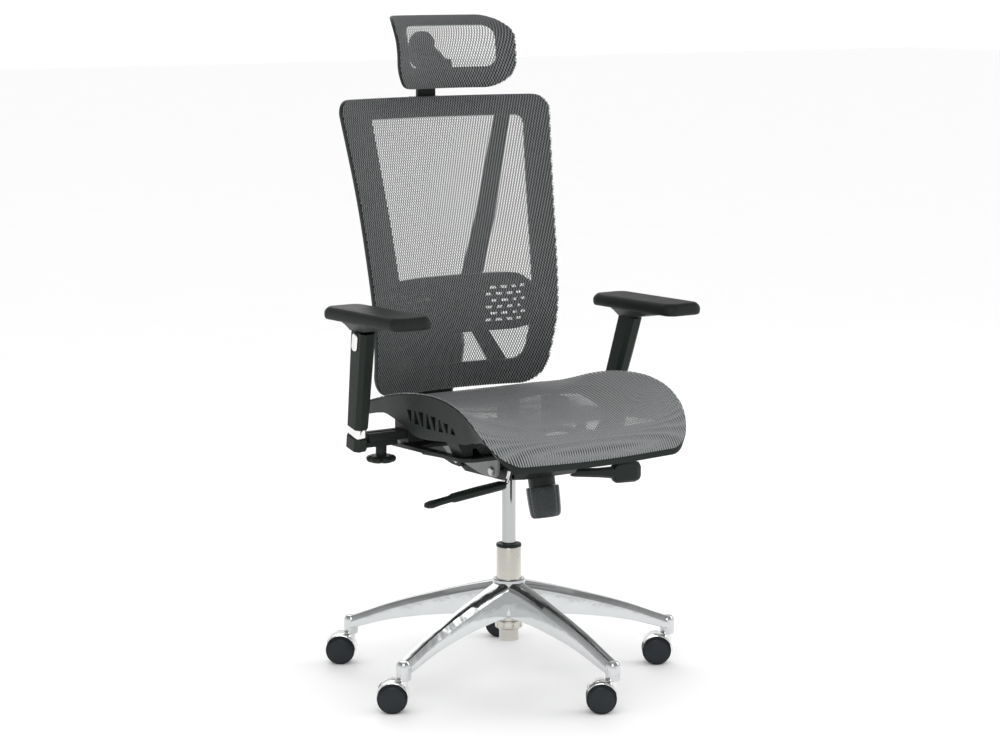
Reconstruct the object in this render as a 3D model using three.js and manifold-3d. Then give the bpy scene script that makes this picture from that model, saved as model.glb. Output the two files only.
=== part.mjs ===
// Ergonomic mesh office chair: five-star aluminium base on twin-wheel casters, gas spring,
// synchronous tilt mechanism, mesh seat, mesh back with lumbar support, mesh headrest and
// two height-adjustable arms. Millimetres, +Z up, the chair faces -Y, and the origin is
// on the floor under the gas column.
import * as THREE from 'three';
import { mergeVertices } from 'three/addons/utils/BufferGeometryUtils.js';
import Module from 'manifold-3d';

const wasm = await Module();
wasm.setup();

// ---------- driving dimensions ----------
const GAP = 0.35; // running clearance between neighbours
const DATUM = -16; // heights above the casters are drawn from a plane 16 mm under the floor
const BASE = {
  arms: 5, firstArm: -90, reach: 345, hubTop: 221, hubBottom: 150, hubRadius: 36,
  socketRadius: 14.5, socketBottom: 79, socketTop: 118, wall: 4,
};
const CASTER = { radius: 30, trail: 22, trailAngle: 144.2, halfWidth: 26, stemRadius: 5.5, axleRadius: 4 };
const COLUMN = { radius: 25, wall: 2, top: 286, bottom: 92, ringRadius: 28, tailRadius: 19.5 };
const PISTON = { radius: 14, bottom: 205, top: 462 };
const HOUSING = { halfWidth: 62, front: -152, rear: 96, bottom: 438, top: 489, rearTop: 470, wall: 4 };
const SEAT_PIVOT = { y: -60, z: 458 };
const RECLINE_PIVOT = { y: 82, z: 460 };
const KNOB = { y: -105, z: 467, lean: 12.5, neckRadius: 27, gripRadius: 33.5, gripTop: -41.4, gripBottom: -104 };
const LEVER = { y: -100, z: 450 };
const SEAT = { halfWidth: 256, front: -304, rear: 200, mesh: 3, rimWidth: 46 };
const BACK = { bottom: 584, top: 1185, band: 50, topBand: 42, thickness: 16, mesh: 3, bottomRadius: 56, topRadius: 30 };
const HEAD = { bottom: 1203, top: 1351, halfWidth: 150, band: 34, lowBand: 43, topBand: 21, thickness: 12, mesh: 3, lowRadius: 54, topRadius: 44 };
const HEAD_PIVOT = { y: 286, z: 1256 };
const ARM = {
  footX: 309, footY: 88, footZ: 497, topX: 331, topY: 26, topZ: 730,
  sleeveWidth: 34, sleeveDepth: 50, sleeveLow: 37.5, sleeveHigh: 244, footWidth: 31, footDepth: 44,
  tubeWidth: 24, tubeDepth: 37, railBottom: 518, railTop: 535, buttonHeight: 222, knobX: 250,
  padX: 331, padY: -25, padWidth: 92, padLength: 270, padThickness: 25, padRise: 43,
  raised: { right: 20, left: 0 },
};

// ---------- materials ----------
const finish = (color, roughness, metalness) => new THREE.MeshStandardMaterial({ color, roughness, metalness });
const blackPlastic = finish('#202423', 0.5, 0);
const darkMetal = finish('#2a2b2a', 0.45, 0.6);
const aluminium = finish('#c9cac8', 0.18, 1);
const chrome = finish('#dcdcda', 0.08, 1);
const steel = finish('#a9a8a2', 0.25, 1);
const fabric = finish('#6e7376', 0.8, 0);
const padFoam = finish('#232625', 0.6, 0);
const wheelBlack = finish('#1f2329', 0.4, 0);

// ---------- solids ----------
const v3 = (x, y, z) => new THREE.Vector3(x, y, z);
const rad = THREE.MathUtils.degToRad;
const STRAIGHT_UP = v3(0, 0, 1);

function toSolid(geometry) {
  const bare = geometry.clone();
  bare.deleteAttribute('normal');
  bare.deleteAttribute('uv');
  const merged = mergeVertices(bare, 1e-4);
  const vertProperties = new Float32Array(merged.attributes.position.array);
  const triVerts = new Uint32Array(merged.index.array);
  return new wasm.Manifold(new wasm.Mesh({ numProp: 3, vertProperties, triVerts }));
}

function toGeometry(solid) {
  const mesh = solid.getMesh();
  const geometry = new THREE.BufferGeometry();
  geometry.setAttribute('position', new THREE.BufferAttribute(new Float32Array(mesh.vertProperties), 3));
  geometry.setIndex(new THREE.BufferAttribute(new Uint32Array(mesh.triVerts), 1));
  geometry.computeVertexNormals();
  return geometry;
}

const join = (...pieces) => toGeometry(pieces.map(toSolid).reduce((whole, piece) => whole.add(piece)));
const cut = (body, ...tools) => toGeometry(tools.map(toSolid).reduce((rest, tool) => rest.subtract(tool), toSolid(body)));

// The same solid on the other side of the YZ plane, with its faces still pointing out.
function mirrored(geometry) {
  const copy = geometry.index ? geometry.toNonIndexed() : geometry.clone();
  const place = copy.attributes.position;
  const corner = [v3(), v3(), v3()];
  for (let i = 0; i < place.count; i += 3) {
    corner.forEach((point, k) => point.fromBufferAttribute(place, i + k));
    corner.forEach((point, k) => place.setXYZ(i + 2 - k, -point.x, point.y, point.z));
  }
  return copy;
}

// A skin over rings of points that all have the same count. Open lofts are capped by fans.
function loft(rings, closed = false) {
  const count = rings[0].length;
  const points = rings.flat();
  const faces = [];
  const spans = closed ? rings.length : rings.length - 1;
  for (let i = 0; i < spans; i += 1) {
    const here = i * count;
    const next = ((i + 1) % rings.length) * count;
    for (let j = 0; j < count; j += 1) {
      const k = (j + 1) % count;
      faces.push(here + j, here + k, next + k, here + j, next + k, next + j);
    }
  }
  if (!closed) {
    [[0, 1], [rings.length - 1, -1]].forEach(([ring, side]) => {
      const centre = points.length;
      points.push(rings[ring].reduce((sum, p) => sum.add(p), v3()).divideScalar(count));
      for (let j = 0; j < count; j += 1) {
        const pair = [ring * count + j, ring * count + ((j + 1) % count)];
        faces.push(centre, ...(side > 0 ? pair.reverse() : pair));
      }
    });
  }
  const volume = faces.reduce((sum, _, i) => (i % 3 ? sum
    : sum + points[faces[i]].dot(v3().crossVectors(points[faces[i + 1]], points[faces[i + 2]]))), 0);
  if (volume < 0) faces.reverse();
  const geometry = new THREE.BufferGeometry().setFromPoints(points);
  geometry.setIndex(faces);
  geometry.computeVertexNormals();
  return geometry;
}

// Lathe about Z: the profile is [radius, height] pairs from the axis back to the axis.
function turned(profile, segments = 32) {
  const points = profile.map(([radius, height]) => new THREE.Vector2(radius, height));
  return new THREE.LatheGeometry(points, segments).rotateX(Math.PI / 2);
}

const rod = (radius, low, high, segments = 24) => turned([[0, low], [radius, low], [radius, high], [0, high]], segments);
const pipe = (outer, inner, low, high, segments = 32) => turned(
  [[inner, low], [outer, low], [outer, high], [inner, high], [inner, low]], segments,
);
const across = (geometry) => geometry.rotateY(Math.PI / 2); // Z axis onto X
const foreAft = (geometry) => geometry.rotateX(-Math.PI / 2); // Z axis onto Y

function box(x0, x1, y0, y1, z0, z1) {
  return new THREE.BoxGeometry(x1 - x0, y1 - y0, z1 - z0)
    .translate((x0 + x1) / 2, (y0 + y1) / 2, (z0 + z1) / 2);
}

// A flat outline in X and Y, as tall as low to high.
function slab(points, low, high) {
  const shape = new THREE.Shape(points.map(([x, y]) => new THREE.Vector2(x, y)));
  return new THREE.ExtrudeGeometry(shape, { depth: high - low, bevelEnabled: false, steps: 1 })
    .translate(0, 0, low);
}

// A flat outline in Y and Z, as wide as left to right along X.
const plate = (points, left, right) => slab(points, left, right)
  .applyMatrix4(new THREE.Matrix4().makeBasis(v3(0, 1, 0), v3(0, 0, 1), v3(1, 0, 0)));

// A rectangle with cut corners, as an outline.
function chamfered(width, depth, corner) {
  const [w, d] = [width / 2, depth / 2];
  return [[w, corner - d], [w, d - corner], [w - corner, d], [corner - w, d],
    [-w, d - corner], [-w, corner - d], [corner - w, -d], [w - corner, -d]];
}

// A rectangle with round corners, as an outline.
function rounded(width, depth, radius, steps = 4) {
  const corners = [[1, -1, -90], [1, 1, 0], [-1, 1, 90], [-1, -1, 180]];
  return corners.flatMap(([sx, sy, start]) => Array.from({ length: steps + 1 }, (_, i) => {
    const angle = rad(start + (90 * i) / steps);
    return [sx * (width / 2 - radius) + radius * Math.cos(angle), sy * (depth / 2 - radius) + radius * Math.sin(angle)];
  }));
}

// A round bar along a smooth path.
function bar(path, radius, steps = 16, sides = 10) {
  const curve = new THREE.CatmullRomCurve3(path);
  const circle = new THREE.Shape(Array.from({ length: sides }, (_, i) => {
    const angle = (2 * Math.PI * i) / sides;
    return new THREE.Vector2(radius * Math.cos(angle), radius * Math.sin(angle));
  }));
  return new THREE.ExtrudeGeometry(circle, { extrudePath: curve, steps, bevelEnabled: false });
}

// A smooth curve through [place, value] pairs, level beyond both ends.
function through(pairs) {
  const last = pairs.length - 1;
  const slope = pairs.map((_, i) => {
    const [before, after] = [pairs[Math.max(i - 1, 0)], pairs[Math.min(i + 1, last)]];
    return (after[1] - before[1]) / (after[0] - before[0]);
  });
  return (place) => {
    const at = THREE.MathUtils.clamp(place, pairs[0][0], pairs[last][0]);
    const i = Math.min(Math.max(pairs.findIndex(([end]) => end >= at) - 1, 0), last - 1);
    const span = pairs[i + 1][0] - pairs[i][0];
    const t = (at - pairs[i][0]) / span;
    const [t2, t3] = [t * t, t * t * t];
    return (2 * t3 - 3 * t2 + 1) * pairs[i][1] + (t3 - 2 * t2 + t) * span * slope[i]
      + (3 * t2 - 2 * t3) * pairs[i + 1][1] + (t3 - t2) * span * slope[i + 1];
  };
}

// ---------- outlines and surfaces of the three meshed panels ----------
// A closed outline, [across, along] from the low edge round to the right: straight low and high edges,
// sides that follow halfWidth, round corners, all moved inwards by the insets of the sides, low and high edge.
function panelOutline({ low, high, halfWidth, insets, lowRadius, highRadius, lowBow = 0, steps = [4, 4, 6, 3, 4] }) {
  const [lowSteps, cornerLow, sideSteps, cornerHigh, highSteps] = steps;
  const [sideInset, lowInset, highInset] = insets;
  const [bottom, top] = [low + lowInset, high - highInset];
  const side = (along) => halfWidth(along) - sideInset;
  const lowCentre = [side(bottom + lowRadius) - lowRadius, bottom + lowRadius];
  const highCentre = [side(top - highRadius) - highRadius, top - highRadius];
  const half = [];
  for (let i = 0; i < lowSteps; i += 1) half.push([(lowCentre[0] * i) / lowSteps, bottom]);
  for (let i = 0; i <= cornerLow; i += 1) {
    const angle = rad(-90 + (90 * i) / cornerLow);
    half.push([lowCentre[0] + lowRadius * Math.cos(angle), lowCentre[1] + lowRadius * Math.sin(angle)]);
  }
  for (let i = 1; i < sideSteps; i += 1) {
    const along = lowCentre[1] + ((highCentre[1] - lowCentre[1]) * i) / sideSteps;
    half.push([side(along), along]);
  }
  for (let i = 0; i <= cornerHigh; i += 1) {
    const angle = rad((90 * i) / cornerHigh);
    half.push([highCentre[0] + highRadius * Math.cos(angle), highCentre[1] + highRadius * Math.sin(angle)]);
  }
  for (let i = 1; i <= highSteps; i += 1) half.push([highCentre[0] * (1 - i / highSteps), top]);
  const bowed = half.map(([x, along]) => {
    const share = THREE.MathUtils.clamp((high - along) / (high - low), 0, 1);
    return [x, along - lowBow * (1 - (x / halfWidth(along)) ** 2) * share ** 3];
  });
  const other = bowed.slice(1, -1).reverse().map(([x, along]) => [-x, along]);
  return [...bowed, ...other];
}

// Rows of points from the outer outline to the inner one, all with the same count.
const rowsBetween = (outer, inner, spans = 2) => Array.from({ length: spans + 1 }, (_, i) => (
  outer.map(([x, along], j) => [x + ((inner[j][0] - x) * i) / spans, along + ((inner[j][1] - along) * i) / spans])));

// A frame under the rows, from depth front to depth back.
function frameRing(rows, place, front, back) {
  return loft(rows[0].map((_, i) => {
    const line = rows.map((row) => row[i]);
    const face = line.map(([x, along]) => place(x, along, front));
    return [...face, ...[line[line.length - 1], line[0]].map(([x, along]) => place(x, along, back))];
  }), true);
}

// A stretched sheet over the rows and on to the centre, as a closed solid of even thickness.
function sheet(rows, centre, place, front, back, rings = 3) {
  const inner = rows[rows.length - 1];
  const shrunk = Array.from({ length: rings - 1 }, (_, i) => inner.map(([x, along]) => [
    centre[0] + ((x - centre[0]) * (rings - 1 - i)) / rings, centre[1] + ((along - centre[1]) * (rings - 1 - i)) / rings,
  ]));
  const outwards = [...rows, ...shrunk].reverse();
  const skin = (depth) => outwards.map((row) => row.map(([x, along]) => place(x, along, depth)));
  return loft([...skin(front), ...skin(back).reverse()]);
}

const backHalfWidth = through([[584, 207], [610, 211], [735, 225], [790, 228], [990, 240], [1170, 258], [1185, 260]]);
const backEdge = through([[584, 167], [610, 160], [670, 146], [735, 138], [790, 140.5], [890, 156], [990, 174.5],
  [1170, 213], [1185, 217]]);
const backHollow = through([[584, 40], [735, 34], [900, 36], [1185, 46]]);
const backPlace = (x, z, depth) => v3(
  x, backEdge(z) + backHollow(z) * (1 - Math.min((x / backHalfWidth(z)) ** 2, 1.1)) + depth, z,
);
const backOutline = (insets, lowRadius, highRadius) => panelOutline({
  low: BACK.bottom, high: BACK.top, halfWidth: backHalfWidth, insets, lowRadius, highRadius,
});

const headCurl = through([[1203, 14], [1222, 3], [1245, 0], [1290, 2], [1318, 10], [1338, 30], [1351, 58]]);
const headHalfWidth = through([[1203, 143], [1300, 144], [1351, 150]]);
const headBend = through([[1203, 41], [1300, 40], [1351, 32]]);
const headPlace = (x, z, depth) => v3(x, 210 - headBend(z) * (x / HEAD.halfWidth) ** 2 + headCurl(z) + depth, z);
const headOutline = (insets, lowRadius, highRadius) => panelOutline({
  low: HEAD.bottom, high: HEAD.top, halfWidth: headHalfWidth, insets, lowRadius, highRadius, steps: [3, 4, 3, 4, 3],
});

const seatEdge = through([[-304, 503], [-290, 521], [-268, 552], [-246, 578], [-211, 604], [-164, 621], [-101, 629],
  [-23, 626], [48, 615], [116, 597], [158, 586], [200, 578]]);
const seatMiddle = through([[-304, 507], [-296, 526], [-278, 545], [-244, 560], [-180, 567], [-80, 566], [40, 560],
  [130, 566], [200, 577]]);
const seatHalfWidth = through([[-304, 246], [-250, 252], [-180, 256], [-60, 255], [120, 250], [200, 242]]);
const seatPlace = (x, y, depth) => {
  const share = Math.min(Math.abs(x) / SEAT.halfWidth, 1) ** 2.6;
  return v3(x, y, seatMiddle(y) + (seatEdge(y) - seatMiddle(y)) * share - depth);
};
const seatOutline = (inset, lowRadius, highRadius) => panelOutline({
  low: SEAT.front + 5, high: SEAT.rear, halfWidth: seatHalfWidth, insets: [inset, inset, inset], lowRadius, highRadius, lowBow: 5,
  steps: [4, 5, 8, 3, 4],
});

const seatRows = () => rowsBetween(seatOutline(0, 72, 44), seatOutline(SEAT.rimWidth, 48, 24));
const backRows = () => rowsBetween(
  backOutline([0, 0, 0], BACK.bottomRadius, BACK.topRadius), backOutline([BACK.band, BACK.band + 4, BACK.topBand], 30, 18),
);
const headRows = () => rowsBetween(
  headOutline([0, 0, 0], HEAD.lowRadius, HEAD.topRadius), headOutline([HEAD.band, HEAD.lowBand, HEAD.topBand], 22, 22),
);

// ---------- the tree of named pieces ----------
const chair = new THREE.Group();
const upper = new THREE.Group();
upper.position.z = DATUM;
chair.add(upper);

function add(parent, name, geometry, material) {
  const mesh = new THREE.Mesh(geometry, material);
  mesh.name = name;
  parent.add(mesh);
  return mesh;
}

function frameAt(parent, x, y, z) {
  const group = new THREE.Group();
  group.position.set(x, y, z);
  parent.add(group);
  return group;
}

// ---------- base ----------
// One arm of the base, along +X: a ridge with a flat top, sides that widen downwards, hollow below.
function baseArm() {
  const topAt = through([[0, 221], [60, 208], [150, 184], [250, 153], [330, 122], [352, 114]]);
  const depthAt = through([[0, 74], [60, 62], [150, 47], [250, 34], [330, 26], [352, 24]]);
  const widthAt = through([[0, 60], [60, 46], [150, 37], [250, 31], [330, 28.5], [352, 28.5]]);
  const section = (r, shrink) => {
    const [top, low] = [topAt(r) - shrink, topAt(r) - depthAt(r) - (shrink ? 3 : 0)];
    const half = widthAt(r) / 2 - shrink;
    const flat = half * 0.5;
    return [[-half, low], [half, low], [half, top - 12], [flat, top], [-flat, top], [-half, top - 12]]
      .map(([y, z]) => v3(r, y, z));
  };
  const stations = [0, 60, 130, 200, 270, 320, BASE.reach];
  const outer = loft(stations.map((r) => section(r, 0)));
  const hollow = loft([60, 130, 200, 270, 318].map((r) => section(r, BASE.wall)));
  return cut(outer, hollow);
}

function addBase() {
  const socket = turned([[0, BASE.socketBottom], [BASE.socketRadius, BASE.socketBottom], [BASE.socketRadius, 112],
    [11, BASE.socketTop], [0, BASE.socketTop]], 12);
  const arm = join(baseArm(), socket.translate(BASE.reach, 0, 0));
  const hub = turned([[0, BASE.hubBottom], [48, BASE.hubBottom], [BASE.hubRadius, 190], [33, BASE.hubTop], [0, BASE.hubTop]], 30);
  const arms = Array.from({ length: BASE.arms }, (_, i) => arm.clone().rotateZ(rad(BASE.firstArm + (360 / BASE.arms) * i)));
  const bores = Array.from({ length: BASE.arms }, (_, i) => rod(CASTER.stemRadius + GAP, 60, 114, 10)
    .translate(BASE.reach, 0, 0).rotateZ(rad(BASE.firstArm + (360 / BASE.arms) * i)));
  add(upper, 'five_star_base', cut(join(hub, ...arms), rod(COLUMN.radius + 2 * GAP, 100, 240, 28), ...bores), aluminium);
}

// ---------- casters ----------
// The wheel axis is along Y, behind the stem by the trail.
function casterHood() {
  const { radius, trail, stemRadius, axleRadius, halfWidth } = CASTER;
  const [inner, outer] = [radius + 1.4, radius + 3.4];
  const under = BASE.socketBottom + DATUM - GAP;
  const [firstAngle, lastAngle, spans] = [30, 178, 7];
  const arc = (reach) => Array.from({ length: spans + 1 }, (_, i) => {
    const angle = rad(firstAngle + ((lastAngle - firstAngle) * i) / spans);
    return [reach * Math.cos(angle), reach * Math.sin(angle)];
  });
  const shell = [...arc(outer), ...arc(inner).reverse()];
  const web = [...arc(inner + 0.5), [-8, -9], [7, -8], [10, 4]];
  const upright = (outline, half) => slab(outline, -half, half).rotateX(Math.PI / 2).translate(trail, 0, radius);
  const wheelSpace = [[3, 60], [-60, -3]].map(([from, to]) => foreAft(rod(inner, from, to, 12)).translate(trail, 0, radius));
  const core = cut(join(rod(8.5, 40, under, 10), upright(web, 2.6)), ...wheelSpace);
  const axle = foreAft(rod(axleRadius, -20, 20, 10)).translate(trail, 0, radius);
  const cover = cut(upright(shell, halfWidth - 3), rod(BASE.socketRadius + 1.5, under - 1.2, under + 20, 14));
  return join(core, cover, rod(stemRadius, under - 4, under + 33, 10), axle);
}

function casterWheel() {
  const { radius, halfWidth, axleRadius } = CASTER;
  const bore = axleRadius + GAP;
  const profile = [[0, 20.5], [bore, 20.5], [bore, 3.6], [radius - 2, 3.6], [radius, 6],
    [radius, 19], [radius - 4, 23], [0, halfWidth]];
  return foreAft(turned(profile, 18));
}

function addCasters() {
  const wheel = casterWheel();
  const hood = casterHood();
  for (let i = 0; i < BASE.arms; i += 1) {
    const angle = rad(BASE.firstArm + (360 / BASE.arms) * i);
    const caster = frameAt(chair, BASE.reach * Math.cos(angle), BASE.reach * Math.sin(angle), 0);
    caster.rotation.z = rad(CASTER.trailAngle);
    add(caster, `caster_${i + 1}_hood`, hood.clone(), chrome);
    [['wheel_far', 0], ['wheel_near', Math.PI]].forEach(([name, turn]) => {
      const mesh = add(caster, `caster_${i + 1}_${name}`, wheel.clone(), wheelBlack);
      mesh.position.set(CASTER.trail, 0, CASTER.radius);
      mesh.rotation.z = turn;
    });
  }
}

// ---------- gas column ----------
function addColumn() {
  const { radius, wall, top, bottom, ringRadius, tailRadius } = COLUMN;
  add(upper, 'column_tube', pipe(radius, radius - wall, BASE.hubBottom + GAP, top, 28), steel);
  const collar = [[PISTON.radius + GAP, top + GAP], [radius + 0.8, top + GAP], [radius + 0.8, top + 5], [radius - 1, top + 7],
    [PISTON.radius + GAP, top + 7], [PISTON.radius + GAP, top + GAP]];
  add(upper, 'column_collar', turned(collar, 24), blackPlastic);
  const cup = [[0, bottom], [tailRadius - 1.5, bottom], [tailRadius, bottom + 1.5], [tailRadius, 112], [tailRadius + 3, 117],
    [ringRadius - 1, 119], [ringRadius, 121], [ringRadius, 134], [ringRadius - 2.5, 136], [ringRadius - 2.5, 146],
    [ringRadius - 4, BASE.hubBottom - GAP], [15.5, BASE.hubBottom - GAP], [15.5, bottom + 6], [5 + GAP, bottom + 6],
    [5 + GAP, bottom + 3], [0, bottom + 3]];
  add(upper, 'column_bottom', turned(cup, 16), steel);
  add(upper, 'gas_spring_rod', rod(5, bottom + 3 + GAP, 236, 16), chrome);
  const cylinder = [[5 + GAP, PISTON.bottom], [PISTON.radius - 1, PISTON.bottom], [PISTON.radius, PISTON.bottom + 1],
    [PISTON.radius, PISTON.top - 20], [PISTON.radius - 1.5, PISTON.top], [0, PISTON.top], [0, 400], [5 + GAP, 400],
    [5 + GAP, PISTON.bottom]];
  add(upper, 'gas_cylinder', turned(cylinder, 20), chrome);
}

// ---------- tilt mechanism ----------
// A pressed steel tray, open at the top, with a neck in front for the tension spring.
function tiltHousing() {
  const { halfWidth, front, rear, bottom, top, rearTop, wall } = HOUSING;
  const side = (low) => [[front, low + 26], [front + 14, low + 12], [-90, low + 4], [-60, low], [rear - 30, low],
    [rear, low + 16], [rear, rearTop], [-50, top], [front, top]];
  const outer = plate(side(bottom), -halfWidth, halfWidth);
  const tray = plate([[front + wall, bottom + 32], [front + 18, bottom + 18], [-88, bottom + 9], [-60, bottom + wall],
    [rear - 32, bottom + wall], [rear - wall, bottom + 20], [rear - wall, top + 5], [front + wall, top + 5]],
  wall - halfWidth, halfWidth - wall);
  const neckTurn = (geometry) => geometry.rotateX(rad(-KNOB.lean)).translate(0, KNOB.y, KNOB.z);
  const neck = neckTurn(rod(KNOB.neckRadius, -41, 10, 20));
  const neckBore = neckTurn(rod(KNOB.neckRadius - 5, -60, 60, 16));
  const boss = rod(24, bottom + 1, top - 8, 20);
  const bossHole = rod(PISTON.radius + 2 * GAP, 400, 520, 20);
  const pinHole = ({ y, z }) => across(rod(5 + 2 * GAP, -90, 90, 10)).translate(0, y, z);
  const leverHole = (z) => across(rod(5, -90, 90, 10)).translate(0, LEVER.y, z);
  const trough = box(-20, 20, -14, 46, top - 15, top + 6);
  const shell = join(cut(outer, tray), neck, boss);
  return cut(shell, neckBore, bossHole, pinHole(SEAT_PIVOT), pinHole(RECLINE_PIVOT), leverHole(LEVER.z), leverHole(LEVER.z + 18), trough);
}

// A compression spring wound round the knob's axis.
function tensionSpring() {
  const [coilRadius, wire, turns, length] = [15.5, 2, 4, 36];
  const points = Array.from({ length: turns * 8 + 1 }, (_, i) => {
    const angle = (2 * Math.PI * i) / 8;
    return v3(coilRadius * Math.cos(angle), coilRadius * Math.sin(angle), (length * i) / (turns * 8));
  });
  return bar(points, wire, turns * 8, 5);
}

// A knob with finger flutes: a star outline lofted down the axis, narrower at the end.
function flutedKnob(levels, flutes, flute, sides) {
  return loft(levels.map(([radius, z]) => Array.from({ length: sides }, (_, i) => {
    const angle = (2 * Math.PI * i) / sides;
    const reach = radius - flute * Math.max(0, Math.cos(angle * flutes)) ** 3;
    return v3(reach * Math.cos(angle), reach * Math.sin(angle), z);
  })));
}

function tensionKnob() {
  const { gripRadius, gripTop, gripBottom } = KNOB;
  const levels = [[gripRadius - 1, gripTop], [gripRadius, gripTop - 2], [gripRadius - 0.5, gripTop - 18],
    [gripRadius - 2, gripBottom + 10], [gripRadius - 4, gripBottom + 4], [gripRadius - 9, gripBottom]];
  return join(flutedKnob(levels, 10, 1.6, 30), rod(9, gripTop - 4, -24, 12));
}

// Under-seat bracket: a pressed plate with two curved cheeks that hang beside the housing.
function seatPlate() {
  const inside = HOUSING.halfWidth + 17;
  const cheek = [[-76, 453], [-70, 447], [-56, 445], [-20, 448], [24, 458], [64, 469], [96, 474], [118, 488], [118, 500],
    [-80, 500], [-80, 466]];
  const cheeks = [1, -1].map((s) => plate(cheek, s > 0 ? inside : -inside - 6, s > 0 ? inside + 6 : -inside));
  const floor = slab(rounded(404, 304, 30), 496, 504);
  const windows = [1, -1].map((s) => slab(rounded(80, 150, 16), 480, 520).translate(s * 140, -20, 0));
  const pinHoles = across(rod(5 + 2 * GAP, -120, 120, 10)).translate(0, SEAT_PIVOT.y, SEAT_PIVOT.z);
  return cut(join(floor.translate(0, 16, 0), ...cheeks), ...windows, pinHoles);
}

// A pivot pin with a domed head at each end.
function pivotPin(half, headRadius) {
  return across(turned([[0, -half - 5], [headRadius - 2, -half - 4.5], [headRadius, -half - 2.5], [headRadius, -half - GAP],
    [5, -half - GAP], [5, half + GAP], [headRadius, half + GAP], [headRadius, half + 2.5], [headRadius - 2, half + 4.5],
    [0, half + 5]], 12));
}

// The height lever: a steel rod with a flat rounded paddle, and the tilt lever: a bent rod with a blade.
function leverPaddle() {
  const stations = [[83, 8, 7, 0], [88, 9, 8.5, 0], [150, 9, 9.5, -7], [186, 9, 12, -10.5], [191, 9, 18, -11.5],
    [197, 9, 21.5, -12], [242, 9, 22, -13.5], [253, 8, 19, -14], [257, 6, 14, -14]];
  const solid = loft(stations.map(([x, halfDepth, halfHeight, z]) => chamfered(2 * halfDepth, 2 * halfHeight, 5)
    .map(([y, up]) => v3(x, y, z + up))));
  return cut(solid, across(rod(5, 60, 122, 16)));
}

function leverBlade() {
  const stations = [[-84, 9, 7, 0], [-92, 11, 8.5, 0], [-150, 12, 9, -6], [-206, 12, 8, -12], [-214, 9, 6, -13],
    [-240, 9, 6, -16.5], [-258, 11, 6.5, -19], [-268, 9, 5, -20], [-272, 4, 2.5, -20.5]];
  const solid = loft(stations.map(([x, halfDepth, halfHeight, z]) => chamfered(2 * halfDepth, 2 * halfHeight, halfHeight * 0.6)
    .map(([y, up]) => v3(x, y, z + up))));
  const slot = slab(rounded(26, 8, 3.9, 3), -60, 60).translate(-242, 0, 0);
  return cut(solid, slot, across(rod(5, -112, -70, 16)));
}

function addMechanism() {
  add(upper, 'tilt_housing', tiltHousing(), darkMetal);
  const knobFrame = frameAt(upper, 0, KNOB.y, KNOB.z);
  knobFrame.rotation.x = rad(-KNOB.lean);
  add(knobFrame, 'tension_knob', tensionKnob(), blackPlastic);
  add(knobFrame, 'tension_spring', tensionSpring().translate(0, 0, -20), steel);
  add(frameAt(upper, 0, SEAT_PIVOT.y, SEAT_PIVOT.z), 'seat_pivot_pin', pivotPin(HOUSING.halfWidth + 23.3, 9), steel);
  add(frameAt(upper, 0, RECLINE_PIVOT.y, RECLINE_PIVOT.z), 'recline_pivot_pin', pivotPin(HOUSING.halfWidth + 9.3, 7.5), steel);

  const heightLever = frameAt(upper, 0, LEVER.y, LEVER.z - 7);
  add(heightLever, 'height_lever_rod', bar([v3(54, 0, 7), v3(58, 0, 7), v3(64, 0, 7), v3(74, 0, 3), v3(84, 0, 0), v3(118, 0, 0)], 4, 10), chrome);
  add(heightLever, 'height_lever_paddle', leverPaddle(), blackPlastic);

  const tiltLever = frameAt(upper, 0, LEVER.y, LEVER.z - 14);
  const bend = [v3(-34, 0, 32), v3(-50, 0, 32), v3(-63, 0, 31.6), v3(-70, 0, 26), v3(-74, 0, 12), v3(-82, 0, 1), v3(-108, 0, 0)];
  add(tiltLever, 'tilt_lever_rod', bar(bend, 4, 12), chrome);
  add(tiltLever, 'tilt_lever_blade', leverBlade(), blackPlastic);
}

// ---------- seat ----------
// Moulded rim under the edge of the mesh. Each side hangs down as a flange with a row of ribbed windows.
function seatFrame() {
  const rows = seatRows();
  const flange = through([[-286, 12], [-250, 20], [-190, 68], [-88, 90], [-20, 86], [20, 66], [62, 46], [100, 30], [200, 24]]);
  const ring = loft(rows[0].map(([x, y], i) => {
    const side = Math.min(Math.abs(x) / (seatHalfWidth(y) - 4), 1) ** 12;
    const drop = 12 + (flange(y) - 12) * side;
    const line = rows.map((row) => row[i]);
    const [innerX, innerY] = line[line.length - 1];
    const rim = seatPlace(x, y, 0).z;
    const inX = x - Math.sign(x) * 14 * side;
    const web = [inX + (innerX - inX) * 0.18, y + (innerY - y) * 0.18];
    const shoulder = seatPlace(x + (innerX - x) * 0.55, y + (innerY - y) * 0.55, 20);
    return [...line.map(([px, py]) => seatPlace(px, py, GAP)), seatPlace(innerX, innerY, 18), shoulder,
      v3(...web, Math.min(seatPlace(...web, 14).z, rim - drop + 4)), v3(inX, y, rim - drop)];
  }), true);
  const [frontY, rearY, railLow, railHigh] = [-96, 148, 504 + GAP, 520];
  const frontRail = box(-170, 170, frontY - 20, frontY + 20, railLow, railHigh);
  const rearRail = box(-140, 140, rearY - 20, rearY + 20, railLow, railHigh);
  const levels = [[150, 190, railLow], [168, 204, 530], [212, 232, 597]];
  const frontLegs = [1, -1].map((s) => loft(levels.map(([near, far, z]) => [
    [near, frontY - 20], [far, frontY - 20], [far, frontY + 20], [near, frontY + 20],
  ].map(([x, y]) => v3(s * x, y, z)))));
  const rearLegs = [1, -1].map((s) => box(s > 0 ? 104 : -140, s > 0 ? 140 : -104, 156, 186, railLow, 560));
  return join(ring, frontRail, rearRail, ...frontLegs, ...rearLegs);
}

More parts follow.
